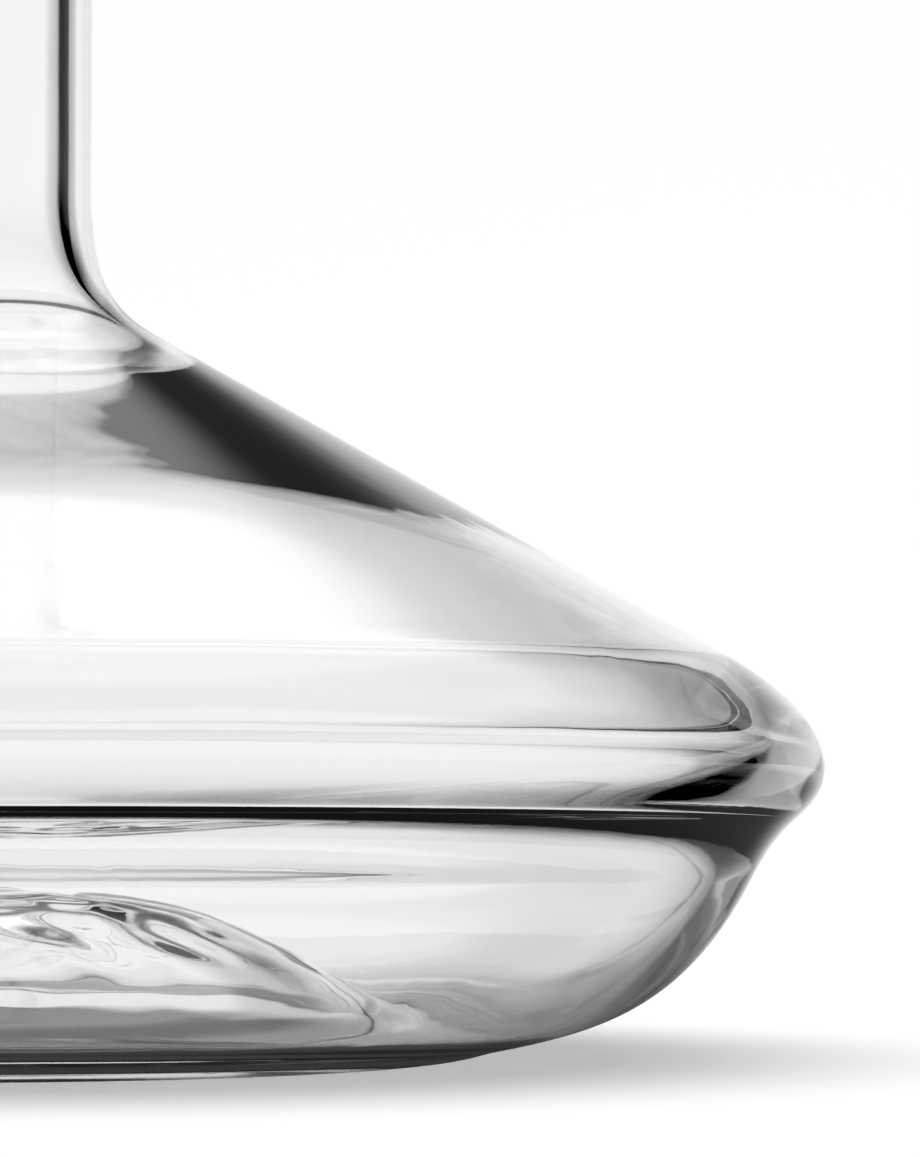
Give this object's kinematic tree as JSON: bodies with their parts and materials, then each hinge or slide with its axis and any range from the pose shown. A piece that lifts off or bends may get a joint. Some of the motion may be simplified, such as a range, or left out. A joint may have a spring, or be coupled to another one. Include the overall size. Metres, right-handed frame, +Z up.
{
  "type": "wine decanter",
  "caption": "Wide low wine decanter of clear glass: a cone shoulder over a rounded ridge, a stepped-in bowl with a raised punt, a thick narrow neck and a flared mouth.",
  "frame": {"origin": "centre of the foot ring, on the table", "axes": "+Z up the neck, the axis that the whole decanter is turned about; +X and +Y are free, as every section is round"},
  "size_m": [0.22, 0.22, 0.2404],
  "materials": {
    "clear_glass": "clear colourless blown glass, fire-polished"
  },
  "bodies": {
    "root": {"punt": "clear_glass", "foot_ring": "clear_glass", "bowl": "clear_glass", "ridge": "clear_glass", "shoulder": "clear_glass", "neck_root": "clear_glass", "neck": "clear_glass", "mouth": "clear_glass", "lip": "clear_glass"}
  },
  "joints": []
}
